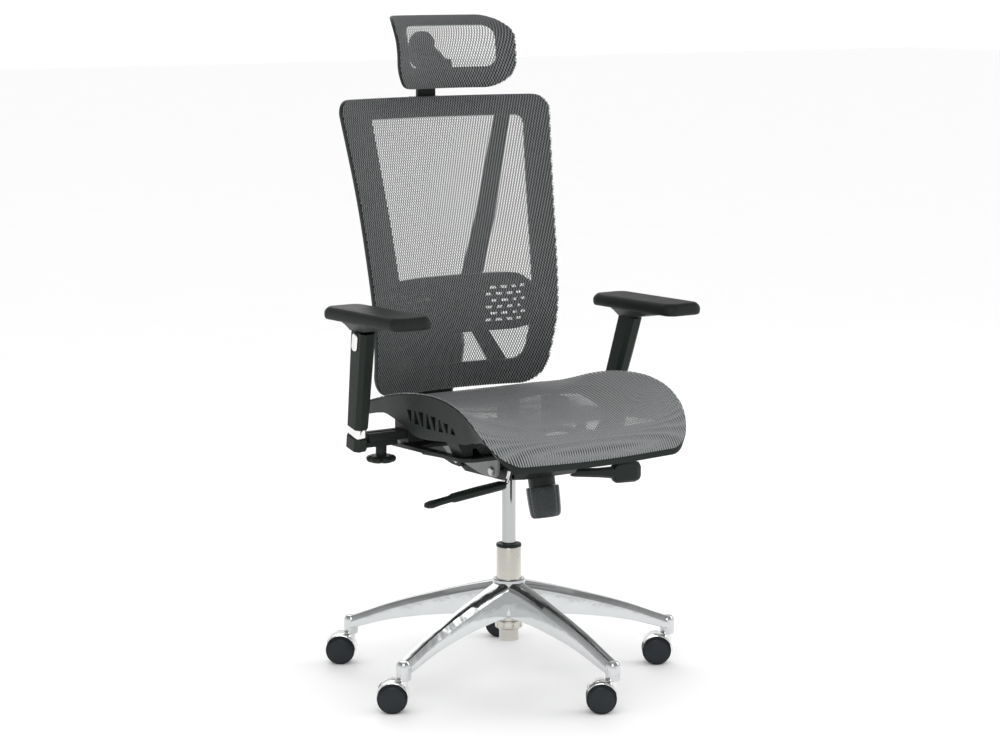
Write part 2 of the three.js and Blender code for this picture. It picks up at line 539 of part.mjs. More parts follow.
// Triangular windows pierced through both side flanges, with slanting ribs left between them.
function flangeWindows() {
  const [first, pitch, count, rib] = [-158, 21, 8, 5];
  const upper = through([[-170, 571], [-120, 584], [-60, 591], [0, 590], [30, 584]]);
  const lower = through([[-170, 561], [-120, 560], [-60, 561], [0, 569], [30, 575]]);
  return Array.from({ length: count }, (_, i) => {
    const y = first + pitch * i;
    const upright = i % 2 === 0;
    const [foot, head] = upright ? [pitch - rib, rib * 0.8] : [rib * 0.8, pitch - rib];
    const outline = [[y - foot / 2, lower(y)], [y + foot / 2, lower(y)], [y + head / 2, upper(y)], [y - head / 2, upper(y)]];
    return [plate(outline, 225, 275), plate(outline, -275, -225)];
  }).flat();
}

function addSeat() {
  add(upper, 'seat_frame', cut(seatFrame(), ...flangeWindows()), blackPlastic);
  add(upper, 'seat_mesh', sheet(seatRows(), [0, -60], seatPlace, -SEAT.mesh, 0), fabric);
  add(upper, 'seat_plate', seatPlate(), steel);
}

// ---------- arms ----------
const armDirection = (s) => v3(s * (ARM.topX - ARM.footX), ARM.topY - ARM.footY, ARM.topZ - ARM.footZ).normalize();

// Fixed bracket: a block under the seat rim and a slotted bar that reaches out to the arm.
function armBracket() {
  const block = box(164, 201, ARM.footY - 24, ARM.footY + 24, 510, 566);
  const rail = box(164, 289, ARM.footY - 19, ARM.footY + 19, ARM.railBottom, ARM.railTop);
  const slot = slab(rounded(70, 9.4, 4.6, 4), 490, 560).translate(248, ARM.footY, 0);
  return cut(join(block, rail), slot);
}

// Foot of the arm: a boot round the tube, with a tongue under the bracket that the hand knob clamps.
function armFoot(post) {
  const boot = slab(chamfered(ARM.footWidth, ARM.footDepth, 8), 11, 37).applyMatrix4(post);
  const tongue = box(222, ARM.footX, ARM.footY - 18, ARM.footY + 18, ARM.railBottom - 10, ARM.railBottom - 0.4);
  const tubeHole = slab(rounded(ARM.tubeWidth + 0.7, ARM.tubeDepth + 0.7, 8), 15, 60).applyMatrix4(post);
  const screwHole = rod(4 + GAP, 480, 540, 12).translate(ARM.knobX, ARM.footY, 0);
  return cut(join(boot, tongue), tubeHole, screwHole);
}

function handKnob() {
  const grip = flutedKnob([[26, -35], [30, -32], [30, -25], [25, -21]], 6, 6, 24);
  return join(grip, rod(11, -26, -GAP, 14), rod(4, -4, 24, 10));
}

// Flared neck under the pad, from the sleeve's outline to the pad's plate.
function padBase(top) {
  const levels = [[38, 56, -17.5, 46, 8], [46, 84, -13, 34, 10], [56, 128, -7, 18, 14], [64, 166, -2.5, 6, 18],
    [66, 170, 0, 4, 18]];
  return loft(levels.map(([width, depth, z, y, corner]) => rounded(width, depth, corner, 3)
    .map(([x, along]) => v3(x, along + y, top + z))));
}

function armPad(top) {
  const { padWidth, padLength, padThickness } = ARM;
  const levels = [[-8, -padThickness, 20], [0, -padThickness + 6, 24], [0, -8, 24], [-7, -3, 22], [-16, 0, 20]];
  return loft(levels.map(([grow, z, corner]) => rounded(padWidth + grow, padLength + grow, corner, 4)
    .map(([x, along]) => v3(x, along, top + z))));
}

function addArm(side, s) {
  const face = (geometry) => (s < 0 ? mirrored(geometry) : geometry);
  const lift = ARM.raised[side];
  const direction = armDirection(1);
  const post = new THREE.Matrix4().makeRotationFromQuaternion(new THREE.Quaternion().setFromUnitVectors(STRAIGHT_UP, direction));
  post.setPosition(ARM.footX, ARM.footY, ARM.footZ);
  const { sleeveWidth, sleeveDepth, sleeveLow, sleeveHigh, tubeWidth, tubeDepth, buttonHeight } = ARM;
  const padTop = ARM.topZ + ARM.padRise + lift;
  const shift = direction.clone().multiplyScalar(lift);

  add(upper, `arm_${side}_bracket`, face(armBracket()), darkMetal);
  add(upper, `arm_${side}_foot`, face(armFoot(post)), blackPlastic);
  const knob = frameAt(upper, s * ARM.knobX, ARM.footY, ARM.railBottom - 10);
  add(knob, `arm_${side}_hand_knob`, handKnob(), blackPlastic);
  const tube = slab(rounded(tubeWidth, tubeDepth, 8), 15.4, 200).applyMatrix4(post);
  add(upper, `arm_${side}_inner_tube`, face(tube), chrome);

  const outer = loft([[ARM.footWidth, ARM.footDepth, sleeveLow], [sleeveWidth, sleeveDepth, 160], [sleeveWidth, sleeveDepth, sleeveHigh]]
    .map(([width, depth, along]) => chamfered(width, depth, 8).map(([x, y]) => v3(x, y, along))));
  const bore = slab(rounded(tubeWidth + 0.8, tubeDepth + 0.8, 8), sleeveLow - 5, sleeveHigh + 5);
  const pocketCut = slab(rounded(18.8, 39.8, 9.3, 5), 9, 40).rotateY(Math.PI / 2).rotateX(Math.PI / 2);
  const sleeve = cut(outer, bore, pocketCut.clone().translate(0, 0, buttonHeight));
  const liftPost = new THREE.Matrix4().makeTranslation(shift.x, shift.y, shift.z).multiply(post);
  add(upper, `arm_${side}_sleeve`, face(sleeve.applyMatrix4(liftPost)), blackPlastic);
  const button = loft([[17.2, 38.2, 13.3, 8.6], [17.2, 38.2, 19.5, 8.6], [14, 35, 21.5, 7]].map(([w, h, reach, corner]) => (
    rounded(w, h, corner, 5).map(([y, z]) => v3(reach, y, z + buttonHeight)))));
  add(upper, `arm_${side}_button`, face(button.applyMatrix4(liftPost)), chrome);

  const pad = frameAt(upper, s * ARM.padX, ARM.padY, 0);
  const neck = cut(padBase(padTop - ARM.padThickness - GAP), slab(
    chamfered(sleeveWidth + 0.7, sleeveDepth + 0.7, 8), -400, sleeveHigh + GAP,
  ).applyMatrix4(liftPost).translate(-ARM.padX, -ARM.padY, 0));
  add(pad, `arm_${side}_pad_base`, face(neck), blackPlastic);
  add(pad, `arm_${side}_pad`, face(armPad(padTop)), padFoam);
}

// ---------- back ----------
// Fork that swings on the recline pin and carries the upright behind the seat.
function reclineFork() {
  const cheek = [[68, 452], [74, 446], [100, 448], [130, 455], [205, 452], [232, 462], [236, 478], [226, 492], [150, 484],
    [110, 477], [84, 473], [70, 467]];
  const inner = HOUSING.halfWidth + 1.5;
  const cheeks = [1, -1].map((s) => plate(cheek, s > 0 ? inner : -inner - 7.5, s > 0 ? inner + 7.5 : -inner));
  const cross = plate([[150, 462], [150, 474], [222, 486], [230, 474], [226, 460], [200, 456]], -inner - 1, inner + 1);
  return cut(join(...cheeks, cross), across(rod(5 + 2 * GAP, -100, 100, 10)).translate(0, RECLINE_PIVOT.y, RECLINE_PIVOT.z));
}

// Upright moulding behind the back. Each station is [y, z, half width, half depth].
function backSpine() {
  const stations = [[262, 452, 44, 16], [266, 500, 46, 16], [272, 570, 48, 18], [284, 612, 78, 20], [300, 660, 96, 24],
    [322, 720, 100, 30], [336, 756, 92, 30], [338, 776, 78, 24], [338, 792, 56, 12]];
  const shaft = loft(stations.map(([y, z, halfWidth, halfDepth]) => chamfered(2 * halfWidth, 2 * halfDepth, halfDepth * 0.7)
    .map(([x, out]) => v3(x, y + out, z))));
  const foot = box(-44, 44, 237, 268, 452, 486);
  return join(shaft, foot);
}

// Cross-shaped brace that holds the back frame on the upright: two long arms up, two short arms down.
// Each arm is turned towards the sitter, as the hollow of the back is, and widens towards the yoke.
function backBrace() {
  const behind = (x, z) => backPlace(x, z, BACK.thickness + 10).y;
  const turn = rad(-18);
  const strut = (s, stations, depth) => loft(stations.map(([x, y, z, width]) => chamfered(width, depth, 3)
    .map(([dx, dy]) => v3(
      s * (x + dx * Math.cos(turn) - dy * Math.sin(turn)), y + dx * Math.sin(turn) + dy * Math.cos(turn), z,
    ))));
  const arms = [1, -1].flatMap((s) => [
    strut(s, [[84, 284, 748, 46], [104, 274, 820, 45], [128, 264, 930, 42], [152, 264, 1050, 37],
      [174, behind(174, 1160), 1160, 33]], 12),
    strut(s, [[70, 284, 784, 38], [84, 268, 740, 38], [104, 246, 690, 40], [134, behind(134, 612), 612, 42]], 12),
  ]);
  return join(box(-100, 100, 270, 284, 738, 790), ...arms);
}

// Curved plate behind the mesh, on two guides that slide on the brace's yoke.
function lumbarPad() {
  const places = [0, 34, 68, 102, 130, 144, 156, 168, 178, 186];
  const outline = [...places.slice(1).reverse().map((x) => -x), ...places];
  const low = (x) => 702 + 6 * (x / 186) ** 8;
  const high = (x) => 822 - 26 * (x / 186) ** 8;
  const sweep = through([[132, 0], [150, 8], [170, 17], [186, 18]]);
  const ring = (x) => [[low(x), 6], [(low(x) + high(x)) / 2, 3.5], [high(x), 6], [high(x), 12], [(low(x) + high(x)) / 2, 11.5],
    [low(x), 12]].map(([z, depth]) => backPlace(x, z, depth + sweep(Math.abs(x))));
  const shell = loft(outline.map(ring));
  const guides = [1, -1].map((s) => box(s > 0 ? 38 : -62, s > 0 ? 62 : -38, 179, 269.6, 746, 772));
  return join(shell, ...guides);
}

function backFrame() {
  const ring = frameRing(backRows(), backPlace, 0, BACK.thickness);
  const guide = box(-34, 34, 266, 306, 1144, 1184);
  return cut(join(ring, guide), box(-22 - GAP, 22 + GAP, 289 - GAP, 299 + GAP, 1100, 1240));
}

function addBack() {
  add(upper, 'recline_fork', reclineFork(), darkMetal);
  add(upper, 'back_spine', backSpine(), blackPlastic);
  add(upper, 'back_frame', backFrame(), blackPlastic);
  add(upper, 'back_brace', backBrace(), blackPlastic);
  add(upper, 'back_mesh', sheet(backRows(), [0, 880], backPlace, -BACK.mesh - GAP, -GAP), fabric);
  add(upper, 'lumbar_pad', lumbarPad(), blackPlastic);
}

// ---------- headrest ----------
function headrestPost() {
  const { y, z } = HEAD_PIVOT;
  const blade = plate([[289, 1146], [299, 1146], [299, 1215], [y + 14, z - 3], [y + 6, z + 6], [y, z + 8], [y - 6, z - 6], [289, 1206]], -21.5, 21.5);
  const barrel = across(rod(9, -21.5, 21.5, 20)).translate(0, y, z);
  return cut(join(blade, barrel), across(rod(4 + GAP, -60, 60, 16)).translate(0, y, z));
}

// Yoke on the back of the headrest frame, with a pin through the post's barrel.
function headrestBracket() {
  const { y, z } = HEAD_PIVOT;
  const ear = [[y - 22, z - 20], [y - 2, z - 12], [y + 10, z - 8], [y + 26, z + 2], [y + 26, z + 34], [y + 6, z + 22], [y - 22, z + 6]];
  const ears = [1, -1].map((s) => plate(ear, s > 0 ? 22 : -30, s > 0 ? 30 : -22));
  const foot = plate([[y - 53, z - 34], [y - 20, z - 34], [y - 20, z + 4], [y - 57, z + 4]], -13, 13);
  const cross = plate([[y - 26, z - 34], [y - 16, z - 34], [y - 16, z + 6], [y - 26, z + 6]], -30, 30);
  const dome = foreAft(slab(rounded(60, 60, 28, 5), 0, 8)).translate(0, y + 18, z + 31);
  const pin = across(rod(4, -30, 30, 16)).translate(0, y, z);
  return join(foot, cross, dome, ...ears, pin);
}

function headrestFrame() {
  const ring = frameRing(headRows(), headPlace, 0, HEAD.thickness);
  const bridge = loft([-13, 0, 13].map((x) => [[1218, 4], [1262, 8], [1262, 17], [1218, 17]].map(([z, depth]) => headPlace(x, z, depth))));
  return join(ring, bridge);
}

function addHeadrest() {
  add(upper, 'headrest_post', headrestPost(), blackPlastic);
  add(upper, 'headrest_bracket', headrestBracket(), blackPlastic);
  add(upper, 'headrest_frame', headrestFrame(), blackPlastic);
  add(upper, 'headrest_mesh', sheet(headRows(), [0, 1277], headPlace, -HEAD.mesh - GAP, -GAP, 2), fabric);
}

addBase();
addCasters();
addColumn();
addMechanism();
addSeat();
addArm('right', -1);
addArm('left', 1);
addBack();
addHeadrest();

export default chair;
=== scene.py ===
import math

import bmesh
import bpy
from mathutils import Matrix, Vector


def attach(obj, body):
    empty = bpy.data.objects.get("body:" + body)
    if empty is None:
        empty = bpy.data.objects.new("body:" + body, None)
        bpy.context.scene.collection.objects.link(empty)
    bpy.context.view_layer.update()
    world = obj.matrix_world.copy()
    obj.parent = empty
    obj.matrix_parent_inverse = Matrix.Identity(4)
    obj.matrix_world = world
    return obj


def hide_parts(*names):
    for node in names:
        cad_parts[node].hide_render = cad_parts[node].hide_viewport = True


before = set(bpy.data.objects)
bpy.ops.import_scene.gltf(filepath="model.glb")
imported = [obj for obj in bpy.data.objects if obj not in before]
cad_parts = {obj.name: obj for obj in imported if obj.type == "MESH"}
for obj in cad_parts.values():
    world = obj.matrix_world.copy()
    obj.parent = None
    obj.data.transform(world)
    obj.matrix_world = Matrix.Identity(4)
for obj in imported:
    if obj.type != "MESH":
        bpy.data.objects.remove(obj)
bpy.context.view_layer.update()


# The studio: one camera at sitting height, front left, a white floor that runs out of sight, and
# soft light from a white room, a wide lamp over the front and a narrow one behind.
def look_from(eye, target):
    return (Vector(target) - Vector(eye)).to_track_quat("-Z", "Y").to_euler()


TARGET = Vector((0, 0, 0.634))
AZIMUTH = math.radians(-35.77)
ELEVATION = math.radians(8.33)
DISTANCE = 5.6
camera = bpy.data.objects.new("camera", bpy.data.cameras.new("camera"))
bpy.context.scene.collection.objects.link(camera)
camera.location = TARGET + DISTANCE * Vector((
    math.sin(AZIMUTH) * math.cos(ELEVATION),
    -math.cos(AZIMUTH) * math.cos(ELEVATION),
    math.sin(ELEVATION),
))
camera.rotation_euler = look_from(camera.location, TARGET)
camera.data.lens = 100.3
camera.data.sensor_width = 36
camera.data.shift_x = -0.0088
camera.data.shift_y = -0.0066
bpy.context.scene.camera = camera
bpy.context.scene.view_settings.view_transform = "Standard"

for name, place, size, power in (
    ("lamp_front", (-2.4, -3.0, 2.6), 2.0, 30),
    ("lamp_side", (3.4, -1.6, 2.2), 1.6, 20),
    ("lamp_back", (1.2, 3.4, 2.4), 2.2, 20),
):
    lamp = bpy.data.objects.new(name, bpy.data.lights.new(name, "AREA"))
    lamp.data.shape = "SQUARE"
    lamp.data.size = size
    lamp.data.energy = power
    lamp.location = place
    lamp.rotation_euler = look_from(place, (0, 0, 0.6))
    bpy.context.scene.collection.objects.link(lamp)


class Wire:
    """An output of a node. Python's operators on it add Math nodes."""

    def __init__(self, tree, socket=None):
        self.tree = tree
        self.socket = socket

    def add(self, kind, settings=None, inputs=None, output=0):
        node = self.tree.nodes.new(kind)
        for name, value in (settings or {}).items():
            if name == "stops":
                stops = node.color_ramp.elements
                while len(stops) < len(value):
                    stops.new(1.0)
                for stop, (place, colour) in zip(stops, value):
                    stop.position = place
                    stop.color = colour
            else:
                setattr(node, name, value)
        for name, value in (inputs or {}).items():
            if isinstance(value, Wire):
                self.tree.links.new(value.socket, node.inputs[name])
            else:
                node.inputs[name].default_value = value
        return Wire(self.tree, node.outputs[output])

    def maths(self, operation, first, second=0.0):
        return self.add("ShaderNodeMath", {"operation": operation}, {0: first, 1: second})

    def __add__(self, other):
        return self.maths("ADD", self, other)

    def __radd__(self, other):
        return self.maths("ADD", other, self)

    def __sub__(self, other):
        return self.maths("SUBTRACT", self, other)

    def __rsub__(self, other):
        return self.maths("SUBTRACT", other, self)

    def __mul__(self, other):
        return self.maths("MULTIPLY", self, other)

    def __rmul__(self, other):
        return self.maths("MULTIPLY", other, self)

    def __truediv__(self, other):
        return self.maths("DIVIDE", self, other)

    def __gt__(self, other):
        return self.maths("GREATER_THAN", self, other)

    def __abs__(self):
        return self.maths("ABSOLUTE", self)

    def fraction(self):
        return self.maths("FRACT", self)

    def least(self, other):
        return self.maths("MINIMUM", self, other)

    def most(self, other):
        return self.maths("MAXIMUM", self, other)

    def mixed(self, dark, light):
        return self.add(
            "ShaderNodeMix", {"data_type": "RGBA"}, {0: self, 6: dark, 7: light}, output=2
        )

    def noise(self, scale, detail=2.0, roughness=0.5):
        return self.add(
            "ShaderNodeTexNoise", None,
            {"Vector": self, "Scale": scale, "Detail": detail, "Roughness": roughness},
        )

    def bump(self, height, distance, strength=1.0):
        return self.add(
            "ShaderNodeBump", None,
            {"Height": height, "Distance": distance, "Strength": strength},
        )


def new_finish(name, fixed):
    """A material with its even values set. Gives it, its feed and the place on the piece."""
    material = bpy.data.materials.new(name)
    material.use_nodes = True
    tree = material.node_tree
    shader = tree.nodes["Principled BSDF"]
    for socket, value in fixed.items():
        shader.inputs[socket].default_value = value
    start = Wire(tree).add("ShaderNodeTexCoord", output=3)

    def feed(socket, wire):
        tree.links.new(wire.socket, shader.inputs[socket])

    return material, feed, start


def rgb(red, green, blue):
    return (red, green, blue, 1.0)


def grey(level):
    return (level, level, level, 1.0)


world = bpy.data.worlds.new("white_room")
world.use_nodes = True
sky = world.node_tree.nodes["Background"]
sky.inputs["Strength"].default_value = 1.08
# The room is plain white, but what mirrors in metal is darker higher up, as under dark fittings.
heading = Wire(world.node_tree).add("ShaderNodeTexCoord")
rise = heading.add("ShaderNodeSeparateXYZ", None, {0: heading}, output=2)
fittings = (
    (0.0, grey(0.70)), (0.18, grey(0.85)), (0.36, grey(0.45)), (0.62, grey(0.20)), (0.9, grey(0.5)),
)
shade = rise.add("ShaderNodeValToRGB", {"stops": fittings}, {0: rise})
mirrored = rise.add("ShaderNodeLightPath", output=3)
seen = mirrored.mixed(grey(1.0), shade)
world.node_tree.links.new(seen.socket, sky.inputs["Color"])
bpy.context.scene.world = world

floor_finish, feed, place = new_finish("studio_floor", {"Roughness": 0.6})
feed("Base Color", place.noise(3, 3).mixed(rgb(0.97, 0.97, 0.97), rgb(0.99, 0.99, 0.99)))


def object_of(name, mesh):
    """An object in the scene, made of a bmesh, which is used up."""
    data = bpy.data.meshes.new(name)
    mesh.to_mesh(data)
    mesh.free()
    made = bpy.data.objects.new(name, data)
    bpy.context.scene.collection.objects.link(made)
    return made


floor_mesh = bmesh.new()
bmesh.ops.create_grid(floor_mesh, x_segments=8, y_segments=8, size=30)
floor = object_of("studio_floor", floor_mesh)
floor.data.materials.append(floor_finish)


# The base: a five-armed star of die-cast aluminium, polished all over. Each arm falls and narrows
# towards its caster, with a flat ridge on top, and is an open channel below.
MM = 0.001
BELOW_FLOOR = 16  # heights of everything above the casters are drawn from 16 mm under the floor
WELD = 1e-6  # corners nearer than this are one corner


def at(across, back, height):
    return Vector((across * MM, back * MM, (height - BELOW_FLOOR) * MM))


def through(*pairs):
    """A smooth curve through (place, value) pairs, level beyond both ends."""
    last = len(pairs) - 1
    slopes = []
    for i in range(len(pairs)):
        before, after = pairs[max(i - 1, 0)], pairs[min(i + 1, last)]
        slopes.append((after[1] - before[1]) / (after[0] - before[0]))

    def value(place):
        place = min(max(place, pairs[0][0]), pairs[last][0])
        i = 0
        while i < last - 1 and pairs[i + 1][0] < place:
            i += 1
        span = pairs[i + 1][0] - pairs[i][0]
        t = (place - pairs[i][0]) / span
        return (
            (2 * t**3 - 3 * t**2 + 1) * pairs[i][1]
            + (t**3 - 2 * t**2 + t) * span * slopes[i]
            + (3 * t**2 - 2 * t**3) * pairs[i + 1][1]
            + (t**3 - t**2) * span * slopes[i + 1]
        )

    return value


def laid(across, along, place):
    """A grid of squares laid over a surface: place(u, v), both from 0 to 1. Seams are closed."""
    mesh = bmesh.new()
    bmesh.ops.create_grid(mesh, x_segments=across, y_segments=along, size=0.5)
    for corner in mesh.verts:
        corner.co = place(corner.co.x + 0.5, corner.co.y + 0.5)
    bmesh.ops.remove_doubles(mesh, verts=mesh.verts, dist=WELD)
    bmesh.ops.holes_fill(mesh, edges=mesh.edges, sides=0)
    bmesh.ops.recalc_face_normals(mesh, faces=mesh.faces)
    return mesh


def skinned(sections, ring_of):
    """A skin over sections: ring_of(section) gives the points round one. The ends are closed."""
    rings = [ring_of(section) for section in sections]
    count = len(rings[0])
    return laid(
        count, len(rings) - 1,
        lambda u, v: rings[round(v * (len(rings) - 1))][round(u * count) % count],
    )


def turned(profile, steps=48):
    """Spun about Z from (radius, height) pairs, in millimetres from the datum."""
    mesh = bmesh.new()
    corners = [mesh.verts.new(at(radius, 0, height)) for radius, height in profile]
    edges = [mesh.edges.new(pair) for pair in zip(corners, corners[1:])]
    bmesh.ops.spin(
        mesh, geom=corners + edges, cent=(0, 0, 0), axis=(0, 0, 1), dvec=(0, 0, 0),
        angle=2 * math.pi, steps=steps, use_merge=True, use_duplicate=False,
    )
    bmesh.ops.remove_doubles(mesh, verts=mesh.verts, dist=WELD)
    bmesh.ops.recalc_face_normals(mesh, faces=mesh.faces)
    return mesh


def put(mesh, matrix):
    bmesh.ops.transform(mesh, matrix=matrix, verts=mesh.verts)
    return mesh


def together(*meshes):
    """Several bodies in one mesh."""
    whole = bmesh.new()
    for mesh in meshes:
        data = bpy.data.meshes.new("part")
        mesh.to_mesh(data)
        mesh.free()
        whole.from_mesh(data)
        bpy.data.meshes.remove(data)
    return whole


def piece(name, mesh, finish, body, nodes, sharp=35, bevel=0.0, segments=2):
    """A piece in its finish, its edges eased by bevel mm, in place of the CAD nodes it stands for."""
    made = object_of(name, mesh)
    made.data.materials.append(finish)
    made.data.shade_smooth()
    made.data.set_sharp_from_angle(angle=math.radians(sharp))
    if bevel:
        edge = made.modifiers.new("eased_edges", "BEVEL")
        edge.width = bevel * MM
        edge.segments = segments
        edge.limit_method = "ANGLE"
        edge.angle_limit = math.radians(28)
        edge.harden_normals = True
    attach(made, body)
    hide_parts(*nodes)
    return made


def cad_copy(node):
    """A merged copy of a CAD node, with its flat triangles joined into whole faces."""
    mesh = bmesh.new()
    mesh.from_mesh(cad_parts[node].data)
    bmesh.ops.remove_doubles(mesh, verts=mesh.verts, dist=2e-5)
    bmesh.ops.dissolve_limit(
        mesh, angle_limit=math.radians(1.5), verts=mesh.verts, edges=mesh.edges,
        use_dissolve_boundaries=False,
    )
    return mesh


def bright_metal(name, colour, roughness, ripple, wander=0.05):
    """Polished or plated metal: slow ripples in the surface and faint rubbing marks."""
    material, feed, place = new_finish(name, {"Metallic": 1.0})
    slow = place.noise(14, 2)
    fine = place.noise(420, 3)
    feed("Base Color", slow.mixed(
        rgb(*(c * 0.94 for c in colour)), rgb(*(min(c * 1.04, 1) for c in colour))
    ))
    feed("Roughness", roughness + (fine - 0.5) * wander)
    feed("Normal", place.bump(place.noise(26, 2), ripple))
    return material


aluminium = bright_metal("polished_aluminium", (0.66, 0.675, 0.68), 0.15, 0.0012)
HUB = [(26.2, 150), (47, 151), (48, 154), (44, 172), (37.5, 190), (34.5, 212), (33, 219), (31, 221),
       (26.2, 221), (25.7, 219), (25.7, 151), (26.2, 150)]
ARM_TIP = 345  # where an arm starts to close round its caster socket
ARM_NOSE = 14.6
arm_top = through((0, 221), (60, 208), (150, 184), (250, 153), (330, 122), (352, 114), (362, 108))
arm_depth = through((0, 74), (60, 62), (150, 47), (250, 34), (330, 26), (352, 24), (362, 18))
arm_width = through((0, 60), (60, 46), (150, 37), (250, 31), (330, 28.5), (352, 28.5))


def arm_section(reach):
    top = arm_top(reach)
    low = top - arm_depth(reach)
    nose = math.sqrt(max(1 - max(reach - ARM_TIP, 0) ** 2 / ARM_NOSE**2, 0.02))
    half = arm_width(reach) / 2 * nose
    flat = half * 0.5
    wall = 3.6 * nose
    roof = min(low + 30, top - 10)
    side = [
        (half - wall, roof), (half - wall, low + 1), (half - wall + 1, low), (half - 1, low),
        (half, low + 1), (half, top - 13), (half - 0.4, top - 11.6), (flat + 0.8, top - 0.5),
        (flat - 0.6, top),
    ]
    outline = side + [(-y, z) for y, z in reversed(side)]
    return [at(reach, y, z) for y, z in outline]


def arm_turn(number):
    return Matrix.Rotation(math.radians(-90 + 72 * number), 4, "Z")


reaches = [30 + 12 * i for i in range(26)] + [338, 344, 349, 353, 356, 358, 359.2]
socket = [(0, 79), (11.5, 79), (13.9, 80), (14.5, 81.5), (14.5, 108), (13.2, 113), (10, 117), (0, 118)]
arms = []
for number in range(5):
    arms.append(put(skinned(reaches, arm_section), arm_turn(number)))
    at_tip = put(turned(socket, 32), Matrix.Translation((ARM_TIP * MM, 0, 0)))
    arms.append(put(at_tip, arm_turn(number)))
piece("base_star", together(turned(HUB, 64), *arms), aluminium, "base",
      ["five_star_base"], sharp=32)


# The casters: a grip stem and axle of steel, a thin chromed hood over each pair of twin wheels,
# and wheels of black nylon with a soft tread and a domed cap.
chrome = bright_metal("chrome_plate", (0.84, 0.84, 0.83), 0.07, 0.0006, 0.03)


def moulded(name, colour, roughness, grain=0.00006, scale=1500, coat=0.0):
    """Injection-moulded plastic: a fine spark texture, uneven gloss and faint handling marks."""
    material, feed, place = new_finish(name, {
        "Coat Weight": coat, "Coat Roughness": 0.2, "Specular IOR Level": 0.2,
    })
    slow = place.noise(9, 3)
    feed("Base Color", slow.mixed(
        rgb(*(c * 0.82 for c in colour)), rgb(*(c * 1.22 for c in colour))
    ))
    feed("Roughness", roughness + (place.noise(60, 3) - 0.5) * 0.12)
    feed("Normal", place.bump(place.noise(scale, 2), grain))
    return material


wheel_black = moulded("wheel_black", (0.014, 0.017, 0.020), 0.30, 0.00002, 900, 0.1)
TRAIL_TURN = math.radians(144.2)
TRAIL = 22  # from the stem back to the axle
WHEEL = 30  # radius
LYING = Matrix.Rotation(math.radians(-90), 4, "X")
AXLE_PLACE = Matrix.Translation((TRAIL * MM, 0, WHEEL * MM))


def caster_place(number):
    stem = arm_turn(number) @ Vector((ARM_TIP * MM, 0, 0))
    return Matrix.Translation(stem) @ Matrix.Rotation(TRAIL_TURN, 4, "Z")


def hood_section(angle, inner=31.4, outer=33.6, half=23.4):
    points = [(outer - 1.6, -half), (outer - 0.5, -half + 0.4), (outer, -half + 1.8),
              (outer, half - 1.8), (outer - 0.5, half - 0.4), (outer - 1.6, half),
              (inner, half - 0.3), (inner, 0), (inner, -half + 0.3)]
    away, up = math.cos(math.radians(angle)), math.sin(math.radians(angle))
    return [Vector((TRAIL + reach * away, y, WHEEL + reach * up)) * MM for reach, y in points]


def on_floor(profile, steps):
    """Turned, with heights from the floor itself."""
    return turned([(radius, height + BELOW_FLOOR) for radius, height in profile], steps)


def wheel_turned():
    profile = [(0, 20.5), (4.4, 20.5), (4.4, 3.6), (26.5, 3.6), (28.6, 4.2), (29.8, 5.8), (30, 8),
               (30, 17), (29.6, 19), (28.4, 20.4), (27.6, 20.8), (27.2, 20.2), (26.4, 20.2), (26, 21),
               (25.4, 22.4), (22, 23.6), (14, 25.2), (6, 25.9), (0, 26)]
    return put(on_floor(profile, 48), LYING)


for number in range(5):
    caster = f"caster_{number + 1}"
    spot = caster_place(number)
    hood = skinned([34 + 6 * i for i in range(25)], hood_section)
    collar = on_floor([(0, 40), (8.5, 40), (8.5, 61.6), (9.8, 61.9), (9.8, 62.6), (0, 62.6)], 24)
    axle = put(put(on_floor([(0, -20), (4, -20), (4, 20), (0, 20)], 16), LYING), AXLE_PLACE)
    stem = on_floor([(0, 60), (5.5, 60), (5.5, 92), (4.8, 94), (0, 94)], 16)
    piece(f"{caster}_cover", put(together(hood, collar, stem, axle), spot), chrome,
          f"{caster}_fork", [f"{caster}_hood"], sharp=40)
    for side, turn in (("far", 0), ("near", math.pi)):
        wheel = put(wheel_turned(), AXLE_PLACE @ Matrix.Rotation(turn, 4, "Z"))
        piece(f"{caster}_disc_{side}", put(wheel, spot), wheel_black,
              f"{caster}_wheels", [f"{caster}_wheel_{side}"], sharp=50)


# The gas column: a nickel-plated tube pressed into the hub, a nylon guide at its mouth, a stepped
# bottom below, and the polished cylinder that rises out of it.
nickel = bright_metal("satin_nickel", (0.62, 0.60, 0.55), 0.26, 0.0004, 0.08)
black_nylon = moulded("black_nylon", (0.010, 0.015, 0.012), 0.42)
tube = [(23, 150.4), (25, 150.4), (25, 284.6), (24.4, 286), (23.4, 286), (23, 285), (23, 150.4)]
piece("column_sleeve", turned(tube, 64), nickel, "base", ["column_tube"], sharp=40)
guide = [(14.4, 286.4), (25.2, 286.4), (25.8, 287), (25.8, 290), (24.6, 292.4), (22, 293), (15.2, 293),
         (14.4, 292.2), (14.4, 286.4)]
piece("column_guide", turned(guide, 64), black_nylon, "base", ["column_collar"], sharp=40)
cup = [(0, 92), (17.5, 92), (19, 92.6), (19.5, 94), (19.5, 111), (20.4, 114), (22.5, 117), (26.6, 118.8),
       (27.7, 119.8), (28, 121.4), (28, 133), (27.4, 134.8), (25.5, 136), (25.5, 146), (24, 149.6),
       (15.5, 149.6), (15.5, 98), (5.4, 98), (5.4, 95), (0, 95)]
piece("column_foot", turned(cup, 64), nickel, "base", ["column_bottom"], sharp=34)
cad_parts["gas_spring_rod"].material_slots[0].material = chrome
cylinder = [(5.4, 205), (13, 205), (13.8, 205.6), (14, 206.6), (14, 441), (13.2, 452), (12.5, 462),
            (0, 462), (0, 400), (5.4, 400), (5.4, 205)]
polished_steel = bright_metal("polished_steel", (0.46, 0.475, 0.465), 0.12, 0.0003, 0.05)
